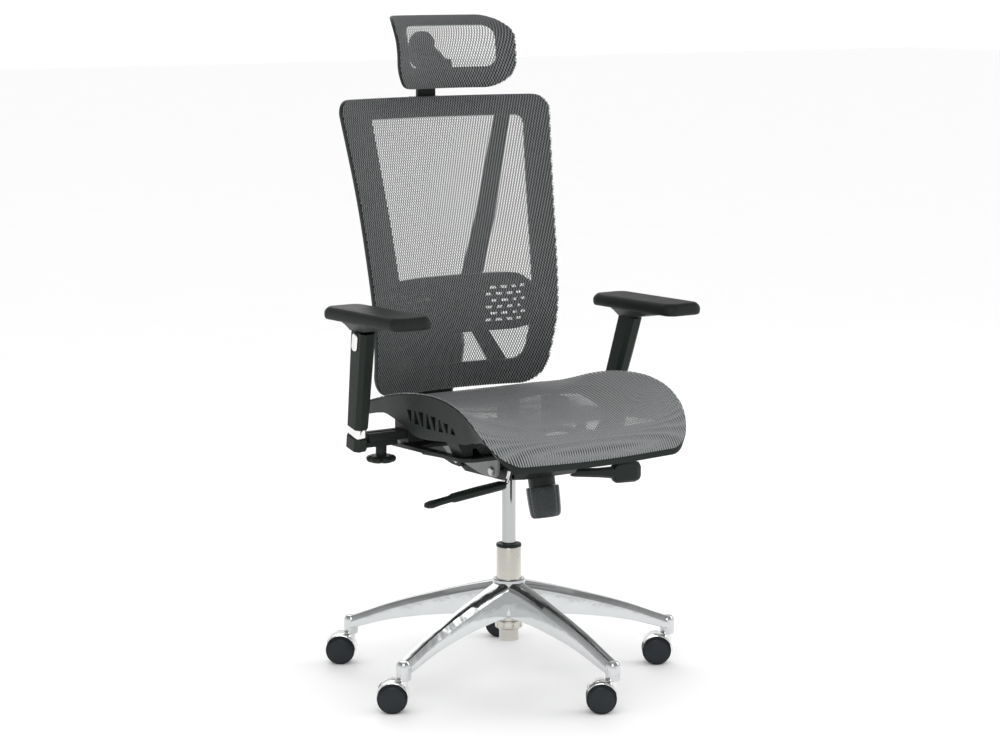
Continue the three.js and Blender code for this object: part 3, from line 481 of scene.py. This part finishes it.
piece("gas_tube", turned(cylinder, 48), polished_steel, "piston", ["gas_cylinder"], sharp=34)


# The tilt mechanism under the seat: a pressed steel tray in black powder coat, its two pivot pins,
# the tension spring and its fluted knob, and a lever on each side.
def powder_coat(name, colour, roughness):
    material, feed, place = new_finish(name, {
        "Coat Weight": 0.05, "Coat Roughness": 0.3, "Specular IOR Level": 0.25,
    })
    feed("Base Color", place.noise(16, 3).mixed(
        rgb(*(c * 0.85 for c in colour)), rgb(*(c * 1.2 for c in colour))
    ))
    feed("Roughness", roughness + (place.noise(90, 3) - 0.5) * 0.14)
    feed("Normal", place.bump(place.noise(700, 3, 0.6), 0.00012))
    return material


black_steel = powder_coat("black_powder_coat", (0.011, 0.013, 0.012), 0.38)
grey_steel = powder_coat("silver_paint", (0.24, 0.25, 0.245), 0.34)
zinc = bright_metal("zinc_plate", (0.50, 0.50, 0.48), 0.30, 0.0003, 0.12)
piece("tilt_case", cad_copy("tilt_housing"), black_steel, "mechanism", ["tilt_housing"],
      bevel=1.0)
for node in ("seat_pivot_pin", "recline_pivot_pin", "tension_spring"):
    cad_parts[node].material_slots[0].material = zinc


def star_knob(levels, lobes, cut, steps, lean, place):
    """A knob with finger flutes, from (radius, height) levels, about its own axis."""
    def ring(level):
        radius, height = level
        points = []
        for i in range(steps):
            turn = 2 * math.pi * i / steps
            reach = radius - cut * max(0.0, math.cos(turn * lobes)) ** 3
            points.append(Vector((reach * math.cos(turn), reach * math.sin(turn), height)) * MM)
        return points

    return put(skinned(levels, ring), Matrix.Translation(place) @ Matrix.Rotation(lean, 4, "X"))


KNOB_LEAN = math.radians(-12.5)
KNOB_PLACE = at(0, -105, 467)
grip = star_knob(
    [(6, -41.4), (31.4, -41.4), (33, -42), (33.5, -44), (33.4, -56), (33, -70), (32, -88), (31, -96),
     (29, -100.5), (25.5, -103.2), (20, -104), (6, -104)], 10, 1.5, 120, KNOB_LEAN, KNOB_PLACE)
knob_shaft = star_knob([(1, -46), (9, -46), (9, -24.5), (1, -24.5)], 1, 0, 24, KNOB_LEAN, KNOB_PLACE)
knob_black = moulded("knob_black", (0.024, 0.029, 0.031), 0.27, 0.00002, 900, 0.3)
piece("tension_grip", together(grip, knob_shaft), knob_black, "knob_tension",
      ["tension_knob"], sharp=44)

for node in ("height_lever_rod", "tilt_lever_rod"):
    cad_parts[node].material_slots[0].material = chrome
piece("height_paddle", cad_copy("height_lever_paddle"), black_nylon, "lever_height",
      ["height_lever_paddle"], bevel=1.4, segments=3)
piece("tilt_blade", cad_copy("tilt_lever_blade"), black_nylon, "lever_tilt",
      ["tilt_lever_blade"], bevel=1.2, segments=3)


# The seat: a moulded nylon rim that the mesh is stretched over, its side flanges pierced by a row of
# windows, two cross rails on legs, and the steel plate below that carries it on the mechanism.
def outline(low, high, half_width, insets, low_radius, high_radius, steps, low_bow=0.0):
    """A closed outline as (across, along) pairs, right round from the middle of the low edge."""
    side_inset, low_inset, high_inset = insets
    bottom = low + low_inset
    top = high - high_inset

    def side(along):
        return half_width(along) - side_inset

    def corner(centre, radius, start, count):
        turns = [math.radians(start + 90 * i / count) for i in range(count + 1)]
        return [(centre[0] + radius * math.cos(t), centre[1] + radius * math.sin(t)) for t in turns]

    low_centre = (side(bottom + low_radius) - low_radius, bottom + low_radius)
    high_centre = (side(top - high_radius) - high_radius, top - high_radius)
    low_steps, low_turn, side_steps, high_turn, high_steps = steps
    half = [(low_centre[0] * i / low_steps, bottom) for i in range(low_steps)]
    half += corner(low_centre, low_radius, -90, low_turn)
    for i in range(1, side_steps):
        along = low_centre[1] + (high_centre[1] - low_centre[1]) * i / side_steps
        half.append((side(along), along))
    half += corner(high_centre, high_radius, 0, high_turn)
    half += [(high_centre[0] * (1 - i / high_steps), top) for i in range(1, high_steps + 1)]
    bowed = []
    for x, along in half:
        share = min(max((high - along) / (high - low), 0), 1)
        bowed.append((x, along - low_bow * (1 - (x / half_width(along)) ** 2) * share**3))
    return bowed + [(-x, along) for x, along in reversed(bowed[1:-1])]


seat_edge = through((-304, 503), (-290, 521), (-268, 552), (-246, 578), (-211, 604), (-164, 621),
                    (-101, 629), (-23, 626), (48, 615), (116, 597), (158, 586), (200, 578))
seat_middle = through((-304, 507), (-296, 526), (-278, 545), (-244, 560), (-180, 567), (-80, 566),
                      (40, 560), (130, 566), (200, 577))
seat_half = through((-304, 246), (-250, 252), (-180, 256), (-60, 255), (120, 250), (200, 242))


SEAT_HALF_WIDTH = 256
EDGE_RISE = 2.6  # how late the seat curves up towards its sides


def seat_at(x, y, depth):
    share = min(abs(x) / SEAT_HALF_WIDTH, 1) ** EDGE_RISE
    return at(x, y, seat_middle(y) + (seat_edge(y) - seat_middle(y)) * share - depth)


SEAT_FRONT, SEAT_REAR, SEAT_BOW = -299, 200, 5
SEAT_STEPS = (14, 14, 40, 8, 14)
RIM_BAND = 46
RIM_SKIN = 12
FLANGE_LEAN = 14
seat_outer = outline(SEAT_FRONT, SEAT_REAR, seat_half, (0, 0, 0), 72, 44, SEAT_STEPS, SEAT_BOW)
seat_inner = outline(SEAT_FRONT, SEAT_REAR, seat_half, (RIM_BAND,) * 3, 48, 24, SEAT_STEPS, SEAT_BOW)
flange_drop = through((-286, 12), (-250, 20), (-190, 68), (-88, 90), (-20, 86), (20, 66), (62, 46),
                      (100, 30), (200, 24))


def towards(start, end, share):
    return (start[0] + (end[0] - start[0]) * share, start[1] + (end[1] - start[1]) * share)


def drawn_height(point):
    return point.z / MM + BELOW_FLOOR


def seat_rim_section(i):
    outside, inside = seat_outer[i], seat_inner[i]
    x, y = outside
    side = min(abs(x) / (seat_half(y) - 4), 1) ** 12
    drop = RIM_SKIN + (flange_drop(y) - RIM_SKIN) * side
    foot = drawn_height(seat_at(x, y, 0)) - drop
    in_x = x - math.copysign(FLANGE_LEAN * side, x)
    web = towards((in_x, y), inside, 0.18)
    web_top = drawn_height(seat_at(*web, 14))
    top = [seat_at(*towards(outside, inside, share), 0.6) for share in (0.02, 0.25, 0.5, 0.75, 0.97)]
    return [
        seat_at(x, y, 2.5), *top, seat_at(*inside, 3), seat_at(*inside, 18),
        seat_at(*towards(outside, inside, 0.55), 20), at(*web, min(web_top, foot + 4)), at(in_x, y, foot),
    ]


frame_nylon = moulded("frame_nylon", (0.010, 0.014, 0.012), 0.40)


def box_mesh(low, high):
    mesh = bmesh.new()
    bmesh.ops.create_cube(mesh, size=1)
    size = [b - a for a, b in zip(low, high)]
    middle = [(a + b) / 2 for a, b in zip(low, high)]
    bmesh.ops.scale(mesh, vec=[s * MM for s in size], verts=mesh.verts)
    bmesh.ops.translate(mesh, vec=at(*middle), verts=mesh.verts)
    return mesh


rim = skinned(list(range(len(seat_outer))) + [0], seat_rim_section)
PLATE_TOP = 504.4
RAIL_FRONT, RAIL_REAR = -116, -76
rails = [
    box_mesh((-170, RAIL_FRONT, PLATE_TOP), (170, RAIL_REAR, 520)),
    box_mesh((-140, 128, PLATE_TOP), (140, 168, 520)),
    box_mesh((-140, 156, PLATE_TOP), (-104, 186, 560)),
    box_mesh((104, 156, PLATE_TOP), (140, 186, 560)),
]
for side in (-1, 1):
    def leg_section(level, side=side):
        near, far, height = level
        corners = ((near, RAIL_FRONT), (far, RAIL_FRONT), (far, RAIL_REAR), (near, RAIL_REAR))
        return [at(side * x, y, height) for x, y in corners]

    rails.append(skinned(((150, 190, PLATE_TOP), (168, 204, 530), (212, 232, 597)), leg_section))


def carved(mesh, *tools):
    """The mesh with the tools' shapes cut out of it."""
    block = object_of("block", mesh)
    tool = object_of("tool", together(*tools))
    cut = block.modifiers.new("cut", "BOOLEAN")
    cut.operation = "DIFFERENCE"
    cut.solver = "EXACT"
    cut.object = tool
    bpy.context.view_layer.update()
    result = bmesh.new()
    result.from_object(block, bpy.context.evaluated_depsgraph_get())
    bpy.data.objects.remove(block)
    bpy.data.objects.remove(tool)
    bmesh.ops.remove_doubles(result, verts=result.verts, dist=WELD)
    return result


def slab(outline_points, low, high):
    """A prism between two X planes, from (back, height) pairs."""
    return skinned((low, high), lambda x: [at(x, y, z) for y, z in outline_points])


window_head = through((-170, 571), (-120, 584), (-60, 591), (0, 590), (30, 584))
window_foot = through((-170, 561), (-120, 560), (-60, 561), (0, 569), (30, 575))
windows = []
for i in range(8):
    y = -158 + 21 * i
    foot, head = (8, 2) if i % 2 == 0 else (2, 8)
    shape = [
        (y - foot, window_foot(y)), (y + foot, window_foot(y)),
        (y + head, window_head(y)), (y - head, window_head(y)),
    ]
    windows += [slab(shape, 225, 275), slab(shape, -275, -225)]
piece("seat_rim", together(carved(rim, *windows), *rails), frame_nylon, "seat",
      ["seat_frame"], sharp=38)


def only(mesh, keep):
    """The mesh with only the faces whose middle passes."""
    gone = [face for face in mesh.faces if not keep(face.calc_center_median())]
    bmesh.ops.delete(mesh, geom=gone, context="FACES")
    return mesh


cheek_top = (495.8 - BELOW_FLOOR) * MM
piece("seat_carrier", only(cad_copy("seat_plate"), lambda middle: middle.z > cheek_top), black_steel,
      "seat", ["seat_plate"], bevel=1.2)
piece("seat_cheeks", only(cad_copy("seat_plate"), lambda middle: middle.z <= cheek_top), grey_steel,
      "seat", ["seat_plate"], bevel=1.2)


def open_mesh(name, plan, hole_half, slot_half, slot_run, dark, light):
    """Woven mesh: long slanted cells in staggered columns. plan gives (across, along) in mm. The yarn runs
    from dark at each hole's edge, a painted shade of its rounding, to light at each strand's middle, a
    painted highlight.
    """
    material, feed, place = new_finish(name, {
        "Roughness": 0.72, "Sheen Weight": 0.15, "Sheen Roughness": 0.4,
    })
    parts = place.add("ShaderNodeSeparateXYZ", None, {0: place})
    node = parts.socket.node
    axes = {"X": Wire(parts.tree, node.outputs[0]), "Y": Wire(parts.tree, node.outputs[1]),
            "Z": Wire(parts.tree, node.outputs[2])}
    across, along = plan(axes)
    pitch, run, slant = 5.8, 10.4, 0.22
    column = (across + along * slant) / pitch
    row = along / run
    side_a = abs(column.fraction() - 0.5) * pitch
    side_b = abs((column + 0.5).fraction() - 0.5) * pitch
    end_a = abs(row.fraction() - 0.5) * run
    end_b = abs((row + 0.5).fraction() - 0.5) * run
    cell_a = side_a / hole_half + (end_a - slot_half).most(0.0) / slot_run
    cell_b = side_b / hole_half + (end_b - slot_half).most(0.0) / slot_run
    cell = cell_a.least(cell_b)
    tint = place.noise(160, 3)
    # Painted shade and highlight: the yarn darkens towards each hole's edge and lightens at each strand's
    # middle, as light falls on rounded yarn; the noise adds the yarn's own random tone.
    feed("Base Color", ((cell - 1.0) * 1.3 + (tint - 0.5) * 0.5).mixed(rgb(*dark), rgb(*light)))
    feed("Alpha", cell > 1.0)
    feed("Normal", place.bump(cell.least(2.0), 0.0012, 0.6))
    return material


# The last two colours are the yarn in painted shade at the hole edges and in painted light at the strand
# middles.
seat_mesh_finish = open_mesh(
    "seat_mesh_weave", lambda axis: (axis["X"] * 1000, axis["Y"] * 1000 - axis["Z"] * 600),
    1.1, 0.9, 1.9, (0.028, 0.031, 0.033), (0.27, 0.28, 0.285))


SHEET_FRONT, SHEET_REAR = -1.9, -0.5  # the mesh lies just in front of its frame


def stretched(outer, inner, centre, place, spans=5, rings=12):
    """A sheet over a rim and the opening inside it: its two faces and its edge, closed."""
    rows = [[towards(a, b, i / spans) for a, b in zip(outer, inner)] for i in range(spans + 1)]
    rows += [[towards(centre, a, 1 - i / rings) for a in rows[spans]] for i in range(1, rings + 1)]
    faces = [(row, SHEET_FRONT) for row in reversed(rows)] + [(row, SHEET_REAR) for row in rows]
    return skinned(faces, lambda face: [place(x, y, face[1]) for x, y in face[0]])


seat_sheet = piece(
    "seat_weave", stretched(seat_outer, seat_inner, (0, -60), seat_at), seat_mesh_finish,
    "seat", ["seat_mesh"], sharp=60)


# The arms: a slotted steel bar under the seat, a nylon foot clamped to it by a hand knob, a chromed
# tube, a tapered sleeve with an oval button, and a foam pad on a flared neck.
pad_foam = moulded("pad_foam", (0.009, 0.012, 0.010), 0.50, 0.00012, 800)


def rounded(width, depth, radius, steps=14):
    """A rectangle with round corners, as (across, back) pairs about its middle."""
    points = []
    for sx, sy, start in ((1, -1, -90), (1, 1, 0), (-1, 1, 90), (-1, -1, 180)):
        for i in range(steps + 1):
            turn = math.radians(start + 90 * i / steps)
            points.append((sx * (width / 2 - radius) + radius * math.cos(turn),
                           sy * (depth / 2 - radius) + radius * math.sin(turn)))
    return points


PAD_ACROSS, PAD_BACK, PAD_THICK = 331, -25, 25
PAD_WIDTH, PAD_LENGTH = 92, 270
# (how much wider than the pad, height above its underside, corner radius)
pad_levels = [
    (-88, 0, 0.5), (-40, 0, 16), (-12, 0, 18), (-6, 1, 20), (-2, 4, 22), (0, 8, 24), (0, 13, 24),
    (-1, 16, 24), (-5, 19.6, 23), (-10, 22.2, 21), (-14, 24, 20), (-18, 24.7, 18), (-30, 25, 14),
    (-60, 25, 8), (-88, 25, 0.5),
]
# The right arm stands one notch higher than the left.
for side, sign, pad_top in (("right", -1, 793), ("left", 1, 773)):
    slider = f"arm_{side}_slider"
    top = f"arm_{side}_top"
    piece(f"arm_{side}_bar", cad_copy(f"arm_{side}_bracket"), black_steel, "seat",
          [f"arm_{side}_bracket"], bevel=1.0)
    piece(f"arm_{side}_boot", cad_copy(f"arm_{side}_foot"), black_nylon, slider,
          [f"arm_{side}_foot"], bevel=1.4, segments=3)
    piece(f"arm_{side}_post", cad_copy(f"arm_{side}_inner_tube"), chrome, slider,
          [f"arm_{side}_inner_tube"], bevel=0.5, sharp=30)
    knob_place = at(sign * 250, 88, 508)
    lobes = star_knob([(4, -35.4), (22, -35.2), (26, -34), (29, -31.4), (30, -28), (29.6, -25), (26, -22),
                       (20, -20.8), (4, -20.6)], 6, 5.5, 96, 0, knob_place)
    neck = star_knob([(1, -26), (11, -26), (11, -1.2), (10, -0.4), (1, -0.4)], 1, 0, 32, 0, knob_place)
    stud = star_knob([(1, -4), (4, -4), (4, 23), (3, 24), (1, 24)], 1, 0, 16, 0, knob_place)
    piece(f"arm_{side}_clamp_knob", together(lobes, neck, stud), black_nylon,
          f"arm_{side}_knob", [f"arm_{side}_hand_knob"], sharp=50)
    piece(f"arm_{side}_housing", cad_copy(f"arm_{side}_sleeve"), black_nylon, top,
          [f"arm_{side}_sleeve"], bevel=1.6, segments=3)
    piece(f"arm_{side}_catch_button", cad_copy(f"arm_{side}_button"), chrome,
          f"arm_{side}_catch", [f"arm_{side}_button"], bevel=0.8, segments=3)
    piece(f"arm_{side}_neck", cad_copy(f"arm_{side}_pad_base"), black_nylon, top,
          [f"arm_{side}_pad_base"], bevel=1.5, segments=3)

    def pad_ring(level, sign=sign, pad_top=pad_top):
        grow, height, radius = level
        return [
            at(sign * PAD_ACROSS + x, PAD_BACK + y, pad_top - PAD_THICK + height)
            for x, y in rounded(PAD_WIDTH + grow, PAD_LENGTH + grow, radius)
        ]

    pad = piece(f"arm_{side}_cushion", skinned(pad_levels, pad_ring), pad_foam, top,
                [f"arm_{side}_pad"], sharp=60)


# The back: a nylon frame as a hollow ring, the mesh stretched over its front, a cross-shaped brace
# on an upright behind it, a lumbar plate that slides on the brace, and the steel recline fork.
back_nylon = moulded("back_nylon", (0.010, 0.014, 0.012), 0.44)
back_half = through((584, 207), (610, 211), (735, 225), (790, 228), (990, 240), (1170, 258), (1185, 260))
back_edge = through((584, 167), (610, 160), (670, 146), (735, 138), (790, 140.5), (890, 156), (990, 174.5),
                    (1170, 213), (1185, 217))
back_hollow = through((584, 40), (735, 34), (900, 36), (1185, 46))


def back_at(x, z, depth):
    bow = 1 - min((x / back_half(z)) ** 2, 1.1)
    return at(x, back_edge(z) + back_hollow(z) * bow + depth, z)


def ring_mesh(outer, inner, place, thickness):
    """A frame between two outlines, flat in front, rounded at its edges."""
    sections = (
        (0.0, 3.0), (0.015, 1.2), (0.05, 0.5), (0.3, 0.5), (0.6, 0.5), (0.94, 0.5), (0.985, 1.2),
        (1.0, 3.0), (1.0, thickness - 3), (0.97, thickness - 0.6), (0.9, thickness),
        (0.5, thickness), (0.1, thickness), (0.03, thickness - 0.6), (0.0, thickness - 3),
    )

    def section(i):
        return [place(*towards(outer[i], inner[i], share), depth) for share, depth in sections]

    return skinned(list(range(len(outer))) + [0], section)


BACK_BOTTOM, BACK_TOP, BACK_THICK = 584, 1185, 16
BACK_STEPS = (14, 12, 36, 8, 14)
back_outer = outline(BACK_BOTTOM, BACK_TOP, back_half, (0, 0, 0), 56, 30, BACK_STEPS)
back_inner = outline(BACK_BOTTOM, BACK_TOP, back_half, (50, 54, 42), 30, 18, BACK_STEPS)
post_guide = [
    box_mesh((left, front, 1144), (right, rear, 1184))
    for left, right, front, rear in (
        (-34, 34, 266, 288.5), (-34, 34, 299.5, 306), (-34, -22.4, 286, 302), (22.4, 34, 286, 302),
    )
]
piece("back_hoop", together(ring_mesh(back_outer, back_inner, back_at, BACK_THICK), *post_guide),
      frame_nylon, "back", ["back_frame"], sharp=50)
# The last two colours are the yarn in painted shade at the hole edges and in painted light at the strand
# middles.
back_weave_finish = open_mesh(
    "back_mesh_weave", lambda axis: (axis["X"] * 1000, axis["Z"] * 1000), 1.7, 1.5, 2.3,
    (0.06, 0.065, 0.068), (0.38, 0.39, 0.395))
back_sheet = piece(
    "back_weave", stretched(back_outer, back_inner, (0, 880), back_at), back_weave_finish,
    "back", ["back_mesh"], sharp=60)
piece("back_upright", cad_copy("back_spine"), back_nylon, "back", ["back_spine"],
      bevel=3.0, segments=3)
piece("back_cross", cad_copy("back_brace"), back_nylon, "back", ["back_brace"],
      bevel=1.6)
piece("back_fork", cad_copy("recline_fork"), black_steel, "back", ["recline_fork"],
      bevel=1.0)
VENT_HALF, VENT_RISE = 9, 3
vents = []
for row in range(6):
    for column in range(4):
        x = 76 + 25 * column + 12 * (row % 2)
        z = 724 + 13.5 * row
        for middle in (-x, x):
            low = (middle - VENT_HALF, 100, z - VENT_RISE)
            high = (middle + VENT_HALF, 300, z + VENT_RISE)
            vents.append(box_mesh(low, high))
piece("lumbar_plate", carved(cad_copy("lumbar_pad"), *vents), back_nylon, "lumbar",
      ["lumbar_pad"])


# The headrest: a curved frame with the same mesh, on a bracket that tilts on a flat post, which
# slides in the back frame.
head_curl = through((1203, 14), (1222, 3), (1245, 0), (1290, 2), (1318, 10), (1338, 30), (1351, 58))
head_half = through((1203, 143), (1300, 144), (1351, 150))
head_bend = through((1203, 41), (1300, 40), (1351, 32))


HEAD_BOTTOM, HEAD_TOP, HEAD_THICK = 1203, 1351, 12
HEAD_PLACE, HEAD_HALF_WIDTH = 210, 150


def head_at(x, z, depth):
    return at(x, HEAD_PLACE - head_bend(z) * (x / HEAD_HALF_WIDTH) ** 2 + head_curl(z) + depth, z)


def bridge_ring(x):
    return [head_at(x, z, depth) for z, depth in ((1218, 4), (1262, 8), (1262, 17), (1218, 17))]


HEAD_STEPS = (10, 12, 14, 12, 10)
head_outer = outline(HEAD_BOTTOM, HEAD_TOP, head_half, (0, 0, 0), 54, 44, HEAD_STEPS)
head_inner = outline(HEAD_BOTTOM, HEAD_TOP, head_half, (34, 43, 21), 22, 22, HEAD_STEPS)
head_ring = ring_mesh(head_outer, head_inner, head_at, HEAD_THICK)
piece("headrest_hoop", together(head_ring, skinned((-13, 0, 13), bridge_ring)), frame_nylon,
      "headrest", ["headrest_frame"], sharp=50)
head_sheet = piece(
    "headrest_weave", stretched(head_outer, head_inner, (0, 1277), head_at), back_weave_finish,
    "headrest", ["headrest_mesh"], sharp=60)
piece("headrest_blade", cad_copy("headrest_post"), black_nylon, "head_post",
      ["headrest_post"], bevel=1.0)
piece("headrest_yoke", cad_copy("headrest_bracket"), black_nylon, "headrest",
      ["headrest_bracket"], bevel=1.4, segments=3)
